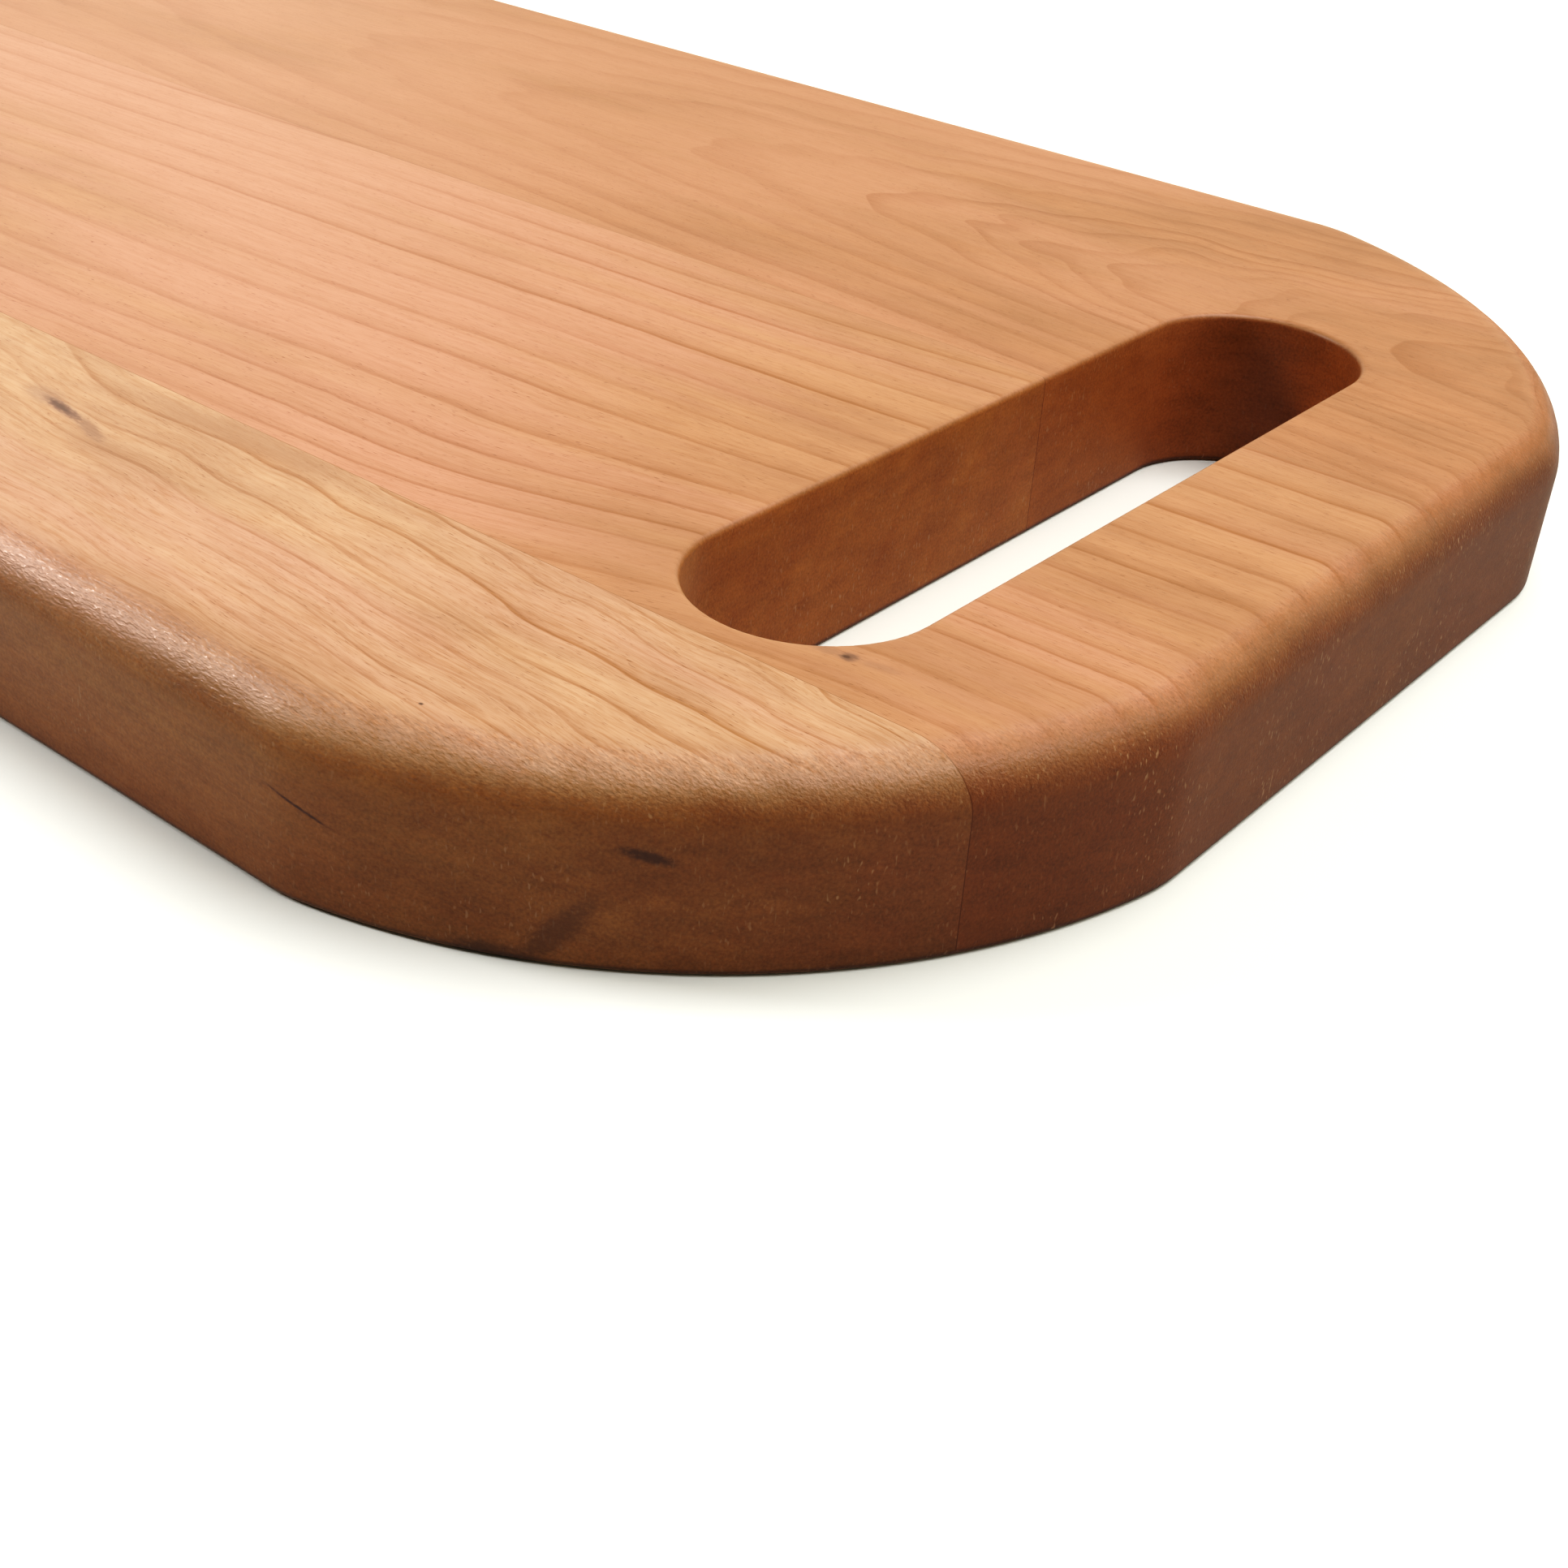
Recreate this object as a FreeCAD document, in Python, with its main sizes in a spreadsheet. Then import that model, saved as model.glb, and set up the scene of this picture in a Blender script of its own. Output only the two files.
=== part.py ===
import FreeCAD, Part
import math
import os
import Sketcher

# Cutting board: three cherry staves glued edge to edge, cut to one outline with four
# large rounded corners, and one hand slot right through the handle end.
#
# Frame: +X runs along the board towards the handle end, +Y across it towards the far
# edge, +Z up. The origin is the middle of the underside. All sizes are millimetres.
#
# The board is made as a joiner makes it. The glued-up panel is sawn, slotted and
# rounded over as one blank, and each stave is what the blank leaves of its own slab.

PARTS_FOLDER = "parts"

SIZES = {
    "board_length": 406.0,
    "board_width": 203.0,
    "board_thickness": 21.0,
    # A corner's arc starts and ends this far back from where the edges would cross.
    # It meets them at a slight angle, which sanding has eased.
    "near_corner_setback": 59.0,
    "near_corner_radius": 74.0,
    "far_corner_setback": 57.0,
    "far_corner_radius": 85.0,
    "angle_easing": 20.0,
    # The top edge is routed all round. The underside is only broken with sandpaper.
    "top_roundover": 6.0,
    "bottom_easing": 0.8,
    # The hand slot lies along the handle end, a little nearer to the near edge.
    "slot_length": 116.0,
    "slot_width": 27.0,
    "slot_inset": 40.0,
    "slot_offset": 4.0,
    "slot_easing": 0.8,
    # The far stave takes the width that the other two and the glue leave.
    "near_stave_width": 36.0,
    "middle_stave_width": 78.5,
    "glue_thickness": 0.1,
    # How far a slab stands out of the blank all round before the blank is cut.
    "slab_allowance": 5.0,
}

# How Sketcher numbers a curve's two ends and its centre, and the sketch's origin.
START = 1
END = 2
CENTRE = 3
ORIGIN = (-1, 1)

THROUGH_ALL = 1
EDGE_SIZE = {"Fillet": "Radius", "Chamfer": "Size"}
NEAR_ZERO = 1e-6
VOLUME_SLACK = 1e-6


def make_sheet(doc):
    """Put the driving dimensions in a spreadsheet, one named cell each."""
    sheet = doc.addObject("Spreadsheet::Sheet", "Sizes")
    for row, (alias, value) in enumerate(SIZES.items(), start=1):
        sheet.set(f"A{row}", alias)
        sheet.set(f"B{row}", str(value))
        sheet.setAlias(f"B{row}", alias)
    doc.recompute()
    return sheet


def add_sketch(body, name):
    """Add a sketch on the body's own horizontal plane."""
    plane = next(f for f in body.Origin.OriginFeatures if f.Role == "XY_Plane")
    sketch = body.newObject("Sketcher::SketchObject", name)
    sketch.AttachmentSupport = [(plane, "")]
    sketch.MapMode = "FlatFace"
    return sketch


def constrain(sketch, kind, *arguments):
    """Add a constraint that has no size."""
    return sketch.addConstraint(Sketcher.Constraint(kind, *arguments))


def dimension(sketch, name, kind, arguments, expression):
    """Add a named dimension and bind it to the spreadsheet."""
    index = constrain(sketch, kind, *arguments)
    sketch.renameConstraint(index, name)
    sketch.setExpression(f"Constraints.{name}", expression)


def place_from_origin(sketch, name, kind, point, offset, expression):
    """Hold a point at a distance from the sketch's origin, on the side it lies."""
    ends = ORIGIN + point if offset > 0 else point + ORIGIN
    dimension(sketch, name, kind, ends + (abs(offset),), expression)


def corner_arc(first, last, radius):
    """Return the short counter-clockwise arc of a radius between two points."""
    chord = last.sub(first)
    inward = FreeCAD.Vector(-chord.y, chord.x, 0).normalize()
    rise = math.sqrt(radius**2 - (chord.Length / 2) ** 2)
    centre = (first + last) * 0.5 + inward * rise
    start = math.atan2(first.y - centre.y, first.x - centre.x)
    stop = math.atan2(last.y - centre.y, last.x - centre.x)
    return Part.ArcOfCircle(Part.Circle(centre, FreeCAD.Vector(0, 0, 1), radius), start, stop)


def draw_outline(sketch, sheet):
    """Draw four corner arcs, counter-clockwise, and the straight edges between them."""
    half_x = sheet.board_length / 2
    half_y = sheet.board_width / 2
    corners = [
        # place, row of the sheet, side along X, side along Y
        ("handle_near", "near_corner", 1, -1),
        ("handle_far", "far_corner", 1, 1),
        ("tail_far", "far_corner", -1, 1),
        ("tail_near", "near_corner", -1, -1),
    ]
    for arc, (place, corner, side_x, side_y) in enumerate(corners):
        setback = getattr(sheet, f"{corner}_setback")
        radius = getattr(sheet, f"{corner}_radius")
        edge_x = side_x * (half_x - setback)
        end_y = side_y * (half_y - setback)
        on_edge = FreeCAD.Vector(edge_x, side_y * half_y, 0)
        on_end = FreeCAD.Vector(side_x * half_x, end_y, 0)
        starts_on_edge = side_x * side_y < 0
        first, last = (on_edge, on_end) if starts_on_edge else (on_end, on_edge)
        edge_point, end_point = (START, END) if starts_on_edge else (END, START)
        sketch.addGeometry(corner_arc(first, last, radius), False)
        dimension(sketch, f"{place}_radius", "Radius", (arc, radius), f"Sizes.{corner}_radius")
        place_from_origin(sketch, f"{place}_along", "DistanceX", (arc, edge_point), edge_x,
                          f"Sizes.board_length / 2 - Sizes.{corner}_setback")
        place_from_origin(sketch, f"{place}_across", "DistanceY", (arc, end_point), end_y,
                          f"Sizes.board_width / 2 - Sizes.{corner}_setback")

    edges = [
        # name, direction, dimension, distance from the middle, the size that it reads
        ("handle_end", "Vertical", "DistanceX", half_x, "board_length"),
        ("far_edge", "Horizontal", "DistanceY", half_y, "board_width"),
        ("tail_end", "Vertical", "DistanceX", -half_x, "board_length"),
        ("near_edge", "Horizontal", "DistanceY", -half_y, "board_width"),
    ]
    for arc, (name, direction, kind, offset, size) in enumerate(edges):
        following = (arc + 1) % len(corners)
        ends = sketch.getPoint(arc, END), sketch.getPoint(following, START)
        edge = sketch.addGeometry(Part.LineSegment(*ends), False)
        constrain(sketch, "Coincident", arc, END, edge, START)
        constrain(sketch, "Coincident", edge, END, following, START)
        constrain(sketch, direction, edge)
        place_from_origin(sketch, name, kind, (edge, START), offset, f"Sizes.{size} / 2")


def draw_slot(sketch, sheet):
    """Draw the hand slot: two straight sides along Y, closed by half circles."""
    radius = sheet.slot_width / 2
    half_run = (sheet.slot_length - sheet.slot_width) / 2
    middle_x = sheet.board_length / 2 - sheet.slot_inset
    near = FreeCAD.Vector(middle_x, -sheet.slot_offset - half_run, 0)
    far = FreeCAD.Vector(middle_x, -sheet.slot_offset + half_run, 0)
    up = FreeCAD.Vector(0, 0, 1)
    out = FreeCAD.Vector(radius, 0, 0)
    near_end = sketch.addGeometry(Part.ArcOfCircle(Part.Circle(near, up, radius), math.pi, 0), False)
    handle_side = sketch.addGeometry(Part.LineSegment(near + out, far + out), False)
    far_end = sketch.addGeometry(Part.ArcOfCircle(Part.Circle(far, up, radius), 0, math.pi), False)
    board_side = sketch.addGeometry(Part.LineSegment(far - out, near - out), False)
    loop = [near_end, handle_side, far_end, board_side]
    for curve, following in zip(loop, loop[1:] + loop[:1]):
        constrain(sketch, "Tangent", curve, END, following, START)
    constrain(sketch, "Vertical", handle_side)
    constrain(sketch, "Equal", near_end, far_end)
    dimension(sketch, "end_radius", "Radius", (near_end, radius), "Sizes.slot_width / 2")
    place_from_origin(sketch, "middle_line", "DistanceX", (near_end, CENTRE), middle_x,
                      "Sizes.board_length / 2 - Sizes.slot_inset")
    place_from_origin(sketch, "near_centre", "DistanceY", (near_end, CENTRE), near.y,
                      "(Sizes.slot_length - Sizes.slot_width) / 2 + Sizes.slot_offset")
    place_from_origin(sketch, "far_centre", "DistanceY", (far_end, CENTRE), far.y,
                      "(Sizes.slot_length - Sizes.slot_width) / 2 - Sizes.slot_offset")


def edges_where(shape, wanted):
    """Return the names of the edges whose bounding box passes a test."""
    return [f"Edge{n}" for n, edge in enumerate(shape.Edges, start=1) if wanted(edge.BoundBox)]


def ease_edges(body, kind, name, base, wanted, size):
    """Fillet or chamfer the chosen edges of the last feature by a size in the sheet."""
    edges = edges_where(base.Shape, wanted)
    if not edges:
        raise RuntimeError(f"{name} found no edges")
    feature = body.newObject(f"PartDesign::{kind}", name)
    feature.Base = (base, edges)
    feature.setExpression(EDGE_SIZE[kind], f"Sizes.{size}")
    body.Document.recompute()
    if not feature.Shape.Volume < base.Shape.Volume:
        raise RuntimeError(f"{name} took nothing off")
    return feature


def make_blank(doc, sheet):
    """Make the whole board in one piece: outline, hand slot and rounded edges."""
    body = doc.addObject("PartDesign::Body", "Blank")
    outline = add_sketch(body, "Outline")
    draw_outline(outline, sheet)
    pad = body.newObject("PartDesign::Pad", "Panel")
    pad.Profile = outline
    pad.setExpression("Length", "Sizes.board_thickness")
    doc.recompute()

    top = sheet.board_thickness
    eased = ease_edges(body, "Fillet", "EasedAngles", pad,
                       lambda box: box.ZLength > top - NEAR_ZERO, "angle_easing")

    slot = add_sketch(body, "Slot")
    draw_slot(slot, sheet)
    pocket = body.newObject("PartDesign::Pocket", "HandSlot")
    pocket.Profile = slot
    pocket.Type = THROUGH_ALL
    pocket.Reversed = True
    doc.recompute()
    cut = eased.Shape.Volume - pocket.Shape.Volume
    straight = sheet.slot_length - sheet.slot_width
    area = straight * sheet.slot_width + math.pi * (sheet.slot_width / 2) ** 2
    if abs(cut - area * top) > VOLUME_SLACK * cut:
        raise RuntimeError("the hand slot isn't cut right through")

    slot_reach = sheet.slot_inset + sheet.slot_width / 2
    slot_left = sheet.board_length / 2 - slot_reach - NEAR_ZERO
    slot_right = slot_left + sheet.slot_width + 2 * NEAR_ZERO

    def in_slot(box):
        return box.XMin > slot_left and box.XMax < slot_right

    def at_height(box, height):
        return abs(box.ZMin - height) < NEAR_ZERO and abs(box.ZMax - height) < NEAR_ZERO

    def on_rim(box, height):
        beside_slot = in_slot(box) and abs(box.Center.y) < sheet.slot_length / 2
        return at_height(box, height) and not beside_slot

    routed = ease_edges(body, "Fillet", "TopRoundover", pocket,
                        lambda box: on_rim(box, top), "top_roundover")
    sanded = ease_edges(body, "Chamfer", "BottomEasing", routed,
                        lambda box: on_rim(box, 0), "bottom_easing")
    ease_edges(body, "Fillet", "SlotEasing", sanded,
               lambda box: in_slot(box) and (at_height(box, top) or at_height(box, 0)),
               "slot_easing")
    return body


def cut_from_blank(doc, blank, label, start, width):
    """Keep the part of the blank in a slab that starts at a place across the board."""
    slab = doc.addObject("Part::Box", f"{label}_slab")
    slab.setExpression("Length", "Sizes.board_length + 2 * Sizes.slab_allowance")
    slab.setExpression("Width", width)
    slab.setExpression("Height", "Sizes.board_thickness + 2 * Sizes.slab_allowance")
    slab.setExpression("Placement.Base.x", "-Sizes.board_length / 2 - Sizes.slab_allowance")
    slab.setExpression("Placement.Base.y", start)
    slab.setExpression("Placement.Base.z", "-Sizes.slab_allowance")
    piece = doc.addObject("Part::Common", label)
    piece.Label = label
    piece.Base = blank
    piece.Tool = slab
    piece.Placement = FreeCAD.Placement()
    return piece


def make_pieces(doc, blank):
    """Divide the blank across its width into staves and the glue between them."""
    near_seam = "-Sizes.board_width / 2 + Sizes.near_stave_width"
    middle_start = f"{near_seam} + Sizes.glue_thickness"
    far_seam = f"{middle_start} + Sizes.middle_stave_width"
    far_start = f"{far_seam} + Sizes.glue_thickness"
    outer_start = "-Sizes.board_width / 2 - Sizes.slab_allowance"
    near_width = "Sizes.near_stave_width + Sizes.slab_allowance"
    far_width = f"Sizes.board_width / 2 + Sizes.slab_allowance - ({far_start})"
    slabs = [
        ("near_stave", outer_start, near_width),
        ("near_glue_line", near_seam, "Sizes.glue_thickness"),
        ("middle_stave", middle_start, "Sizes.middle_stave_width"),
        ("far_glue_line", far_seam, "Sizes.glue_thickness"),
        ("far_stave", far_start, far_width),
    ]
    return [cut_from_blank(doc, blank, *slab) for slab in slabs]


def check_document(doc, blank, pieces):
    """Stop if anything failed, or if the pieces don't make up the whole board."""
    for item in doc.Objects:
        if "Invalid" in item.State or "Error" in item.State:
            raise RuntimeError(f"{item.Label} failed: {item.State}")
    for piece in pieces:
        if piece.Shape.isNull() or not piece.Shape.isValid() or not piece.Shape.Solids:
            raise RuntimeError(f"{piece.Label} has no valid solid")
    whole = blank.Shape.Volume
    total = sum(piece.Shape.Volume for piece in pieces)
    if abs(total - whole) > VOLUME_SLACK * whole:
        raise RuntimeError(f"the pieces hold {total:.1f} of the board's {whole:.1f} cubic mm")


def write_pieces(pieces):
    """Write one STEP file for each piece, named after it."""
    os.makedirs(PARTS_FOLDER, exist_ok=True)
    for piece in pieces:
        piece.Shape.exportStep(os.path.join(PARTS_FOLDER, f"{piece.Label}.step"))
        box = piece.Shape.optimalBoundingBox()
        print(f"{piece.Label}: {len(piece.Shape.Solids)} solid(s), "
              f"{box.XLength:.1f} x {box.YLength:.2f} x {box.ZLength:.1f} mm, "
              f"{piece.Shape.Volume / 1000:.2f} cm3")


document = FreeCAD.newDocument("CuttingBoard")
sizes = make_sheet(document)
board = make_blank(document, sizes)
board_pieces = make_pieces(document, board)
document.recompute()
check_document(document, board, board_pieces)
write_pieces(board_pieces)
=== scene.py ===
import math
from collections import namedtuple

import bmesh
import bpy
from mathutils import Matrix, Vector
from mathutils.kdtree import KDTree


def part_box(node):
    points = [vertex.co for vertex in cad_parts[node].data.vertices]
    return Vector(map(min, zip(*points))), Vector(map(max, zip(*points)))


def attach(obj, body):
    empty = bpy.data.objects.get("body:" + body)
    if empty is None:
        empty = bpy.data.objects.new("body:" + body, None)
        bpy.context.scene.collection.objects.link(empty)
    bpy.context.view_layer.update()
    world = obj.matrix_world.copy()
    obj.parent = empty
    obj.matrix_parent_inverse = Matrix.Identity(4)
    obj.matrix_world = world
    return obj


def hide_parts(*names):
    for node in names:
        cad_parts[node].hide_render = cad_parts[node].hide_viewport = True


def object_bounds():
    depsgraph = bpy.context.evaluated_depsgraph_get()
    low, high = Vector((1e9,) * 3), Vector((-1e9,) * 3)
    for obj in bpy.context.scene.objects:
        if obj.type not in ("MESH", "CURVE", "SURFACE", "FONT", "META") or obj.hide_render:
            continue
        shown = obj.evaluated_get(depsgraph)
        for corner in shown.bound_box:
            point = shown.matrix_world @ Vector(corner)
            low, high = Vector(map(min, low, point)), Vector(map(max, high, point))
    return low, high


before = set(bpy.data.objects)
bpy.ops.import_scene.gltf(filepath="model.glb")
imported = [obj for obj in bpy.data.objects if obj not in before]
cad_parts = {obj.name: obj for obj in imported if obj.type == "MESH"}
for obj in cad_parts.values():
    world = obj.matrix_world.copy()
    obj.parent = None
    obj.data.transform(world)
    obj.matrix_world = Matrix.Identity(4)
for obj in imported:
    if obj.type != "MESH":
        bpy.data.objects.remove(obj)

# Cutting board: three cherry staves and the two glue lines between them.
#
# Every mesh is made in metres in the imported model's frame: +X to the handle end, +Y to the
# far edge, +Z up, origin in the middle of the underside. Grain is described in
# millimetres in the same frame.

CAD_BOUNDS = [list(corner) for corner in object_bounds()]
MM = 0.001

# The board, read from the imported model.
BOARD_LOW, BOARD_HIGH = (Vector(corner) for corner in CAD_BOUNDS)
HALF_LENGTH = (BOARD_HIGH.x - BOARD_LOW.x) / 2
HALF_WIDTH = (BOARD_HIGH.y - BOARD_LOW.y) / 2
THICKNESS = BOARD_HIGH.z - BOARD_LOW.z
HANDLE_END = BOARD_HIGH.x

# Edges, corners and the hand slot, in the CAD model's sizes.
NEAR_CORNER = {"setback": 59 * MM, "radius": 74 * MM}
FAR_CORNER = {"setback": 57 * MM, "radius": 85 * MM}
ANGLE_EASING = 20 * MM
TOP_ROUNDOVER = 6 * MM
BOTTOM_EASING = 0.8 * MM
SLOT_EASING = 0.8 * MM
SLOT_LENGTH = 116 * MM
SLOT_WIDTH = 27 * MM
SLOT_RADIUS = SLOT_WIDTH / 2
SLOT_HALF_RUN = (SLOT_LENGTH - SLOT_WIDTH) / 2
SLOT_INSET = 40 * MM
SLOT_OFFSET = 4 * MM

# How finely the meshes are divided.
CURVE_STEP = 1.5 * MM
STRAIGHT_STEP = 3.0 * MM
GRID_STEP = 4.0 * MM
WALL_STEP = 3.0 * MM
ROUNDOVER_STEPS = 12
EASING_STEPS = 4
FLAT_MARGIN = 0.4 * MM
GRID_MARGIN = 2.0 * MM
SAME_PLACE = 0.04 * MM

STAVES = ("near_stave", "middle_stave", "far_stave")
GLUE_LINES = ("near_glue_line", "far_glue_line")


# --- Outline and slot -----------------------------------------------------------------


def arc(centre, radius, start, stop, step=CURVE_STEP):
    """Return points on an arc, each with its direction from the centre."""
    turn = stop - start
    count = max(2, math.ceil(abs(turn) * radius / step))
    points = []
    for index in range(count + 1):
        angle = start + turn * index / count
        out = Vector((math.cos(angle), math.sin(angle)))
        points.append((centre + out * radius, out))
    return points


def joined(runs):
    """Join runs end to end, dropping each point that repeats the one before it."""
    points = []
    for run in runs:
        for place, out in run:
            if not points or (place - points[-1][0]).length > SAME_PLACE:
                points.append((place, out))
    return points


def corner(setback, radius):
    """Return a corner's points, from one edge to the other.

    They are measured back from where the two edges would cross. The main arc meets each
    edge at a slight angle, which a smaller arc eases.
    """
    middle = (setback + math.sqrt(2 * radius**2 - setback**2)) / 2
    reach = math.sqrt((radius - ANGLE_EASING) ** 2 - (middle - ANGLE_EASING) ** 2)
    meets = math.atan2(ANGLE_EASING - middle, -reach)
    leaves = -math.pi / 2 - meets
    first = arc(Vector((middle - reach, ANGLE_EASING)), ANGLE_EASING, -math.pi / 2, meets)
    main = arc(Vector((middle, middle)), radius, meets, leaves - math.pi)
    last = arc(Vector((ANGLE_EASING, middle - reach)), ANGLE_EASING, leaves - math.pi, -math.pi)
    return joined([first, main, last])


def outline():
    """Return the board's outline, counter-clockwise, with outward directions."""
    places = [(NEAR_CORNER, 1, -1), (FAR_CORNER, 1, 1), (FAR_CORNER, -1, 1), (NEAR_CORNER, -1, -1)]
    runs = []
    for size, side_x, side_y in places:
        run = [
            (
                Vector((side_x * (HALF_LENGTH - place.x), side_y * (HALF_WIDTH - place.y))),
                Vector((-side_x * out.x, -side_y * out.y)),
            )
            for place, out in corner(**size)
        ]
        runs.append(run if side_x * side_y < 0 else run[::-1])
    return with_straights(runs)


def slot_outline():
    """Return the hand slot's wall, with directions out of the wood into the slot."""
    middle = Vector((HANDLE_END - SLOT_INSET, -SLOT_OFFSET))
    run = Vector((0, SLOT_HALF_RUN))
    ends = [arc(middle - run, SLOT_RADIUS, -math.pi, 0), arc(middle + run, SLOT_RADIUS, 0, math.pi)]
    return [(place, -out) for place, out in with_straights(ends)]


def with_straights(runs):
    """Join curved runs into a loop, with evenly divided straight edges between them."""
    points = []
    for run, following in zip(runs, runs[1:] + runs[:1]):
        points.extend(run)
        (start, out), stop = run[-1], following[0][0]
        count = math.ceil((stop - start).length / STRAIGHT_STEP)
        points.extend((start.lerp(stop, index / count), out) for index in range(1, count))
    return points


# --- Board mesh -----------------------------------------------------------------------


def edge_profile(top_radius, bottom_radius):
    """Return an edge's section from the top face to the underside, as (inset, height)."""
    section = [(top_radius + FLAT_MARGIN, THICKNESS)]
    steps = ROUNDOVER_STEPS if top_radius == TOP_ROUNDOVER else EASING_STEPS
    for index in range(steps + 1):
        turn = math.pi / 2 * index / steps
        section.append((top_radius * (1 - math.sin(turn)), THICKNESS - top_radius * (1 - math.cos(turn))))
    wall = THICKNESS - top_radius - bottom_radius
    rows = math.ceil(wall / WALL_STEP)
    section.extend((0.0, THICKNESS - top_radius - wall * row / rows) for row in range(1, rows))
    for index in range(EASING_STEPS + 1):
        turn = math.pi / 2 * index / EASING_STEPS
        section.append((bottom_radius * (1 - math.cos(turn)), bottom_radius * (1 - math.sin(turn))))
    section.append((bottom_radius + FLAT_MARGIN, 0.0))
    return section


def add_edge(mesh, loop, section):
    """Sweep an edge section along a closed loop. Return its top and bottom rings."""
    rings = []
    for inset, height in section:
        places = [place - out * inset for place, out in loop]
        rings.append([mesh.verts.new((place.x, place.y, height)) for place in places])
    for upper, lower in zip(rings, rings[1:]):
        for index in range(len(loop)):
            following = (index + 1) % len(loop)
            mesh.faces.new((upper[index], upper[following], lower[following], lower[index]))
    return rings[0], rings[-1]


def clearance(loop):
    """Return a function that says how far inside a loop's wood a place is."""
    tree = KDTree(len(loop))
    for index, (place, _) in enumerate(loop):
        tree.insert((place.x, place.y, 0), index)
    tree.balance()

    def measure(place):
        index = tree.find((place.x, place.y, 0))[1]
        nearest, out = loop[index]
        return (nearest - place).dot(out)

    return measure


def add_flat_face(mesh, loops, rings, insets, height):
    """Cover a face of the board with square cells, and join them to its edges."""
    measures = [clearance(loop) for loop in loops]
    columns = math.ceil(2 * HALF_LENGTH / GRID_STEP)
    rows = math.ceil(2 * HALF_WIDTH / GRID_STEP)
    grid = {}
    for column in range(columns + 1):
        for row in range(rows + 1):
            place = Vector((
                -HALF_LENGTH + 2 * HALF_LENGTH * column / columns,
                -HALF_WIDTH + 2 * HALF_WIDTH * row / rows,
            ))
            if all(measure(place) > inset + GRID_MARGIN for measure, inset in zip(measures, insets)):
                grid[column, row] = mesh.verts.new((place.x, place.y, height))
    cells = []
    for column, row in grid:
        square = [(column, row), (column + 1, row), (column + 1, row + 1), (column, row + 1)]
        if all(place in grid for place in square):
            cells.append(mesh.faces.new([grid[place] for place in square]))
    borders = [edge for cell in cells for edge in cell.edges if len(edge.link_faces) == 1]
    for vertex in grid.values():
        if not vertex.link_faces:
            mesh.verts.remove(vertex)
    for ring in rings:
        borders.extend(mesh.edges.get((a, b)) for a, b in zip(ring, ring[1:] + ring[:1]))
    bmesh.ops.triangle_fill(mesh, edges=borders, use_beauty=True, normal=(0, 0, 1))


def make_board_mesh():
    """Make the whole board as one closed mesh: rounded edges, hand slot and two faces."""
    mesh = bmesh.new()
    loops = [outline(), slot_outline()]
    sections = [edge_profile(TOP_ROUNDOVER, BOTTOM_EASING), edge_profile(SLOT_EASING, SLOT_EASING)]
    edges = [add_edge(mesh, loop, section) for loop, section in zip(loops, sections)]
    for side, height in ((0, THICKNESS), (-1, 0.0)):
        rings = [edge[side] for edge in edges]
        insets = [section[side][0] for section in sections]
        add_flat_face(mesh, loops, rings, insets, height)
    bmesh.ops.recalc_face_normals(mesh, faces=mesh.faces)
    for face in mesh.faces:
        face.smooth = True
    return mesh


def cut_across(mesh, place, keep_far):
    """Cut the mesh at a place across the board, keep one side and close the cut."""
    side = -1 if keep_far else 1
    cut = bmesh.ops.bisect_plane(
        mesh,
        geom=mesh.verts[:] + mesh.edges[:] + mesh.faces[:],
        plane_co=(0, place, 0),
        plane_no=(0, side, 0),
        clear_outer=True,
    )
    rim = [item for item in cut["geom_cut"] if isinstance(item, bmesh.types.BMEdge)]
    filled = bmesh.ops.triangle_fill(mesh, edges=rim, use_beauty=True, normal=(0, side, 0))
    for item in filled["geom"]:
        if isinstance(item, bmesh.types.BMFace):
            item.smooth = False
    for edge in rim:
        edge.smooth = False


def make_piece(board, node):
    """Cut a stave or a glue line out of the board, and let it stand for its CAD node."""
    low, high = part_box(node)
    mesh = board.copy()
    if low[1] > BOARD_LOW.y + FLAT_MARGIN:
        cut_across(mesh, low[1], keep_far=True)
    if high[1] < BOARD_HIGH.y - FLAT_MARGIN:
        cut_across(mesh, high[1], keep_far=False)
    bmesh.ops.recalc_face_normals(mesh, faces=mesh.faces)
    open_edges = [edge for edge in mesh.edges if len(edge.link_faces) != 2]
    if open_edges:
        raise RuntimeError(f"{node} has {len(open_edges)} open edges")
    data = bpy.data.meshes.new(f"{node}_mesh")
    mesh.to_mesh(data)
    mesh.free()
    piece = bpy.data.objects.new(f"{node}_piece", data)
    bpy.context.scene.collection.objects.link(piece)
    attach(piece, "root")
    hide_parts(node)
    return piece


# --- Camera, floor and light ----------------------------------------------------------

VIEW_TURN = math.radians(37.369)
VIEW_DOWN = math.radians(32.705)
VIEW_ROLL = math.radians(3.918)
VIEW_DISTANCE = 193.33 * MM
VIEW_TARGET = Vector((HANDLE_END - 28.15 * MM, -66.97 * MM, THICKNESS / 2))
LENS = 47.92
SENSOR = 36.0
NEAREST_SEEN = 1 * MM

FLOOR_SIZE = 1.05
FLOOR_COLOUR = (0.645, 0.645, 0.62, 1)
FLOOR_ROUGHNESS = 0.9

# The white walls behind the board are bright. Those on the camera's side are dim. They
# fade from one to the other as they turn away from the bright side.
WALLS_COLOUR = (0.98, 1.0, 0.76, 1)
WALLS_BRIGHT = 0.95
WALLS_DIM = 0.08
WALLS_FADE = (-0.3, 0.7)
BRIGHT_SIDE = (0.15, 0.99, 0.0)
BACKDROP_COLOUR = (1, 1, 1, 1)

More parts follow.
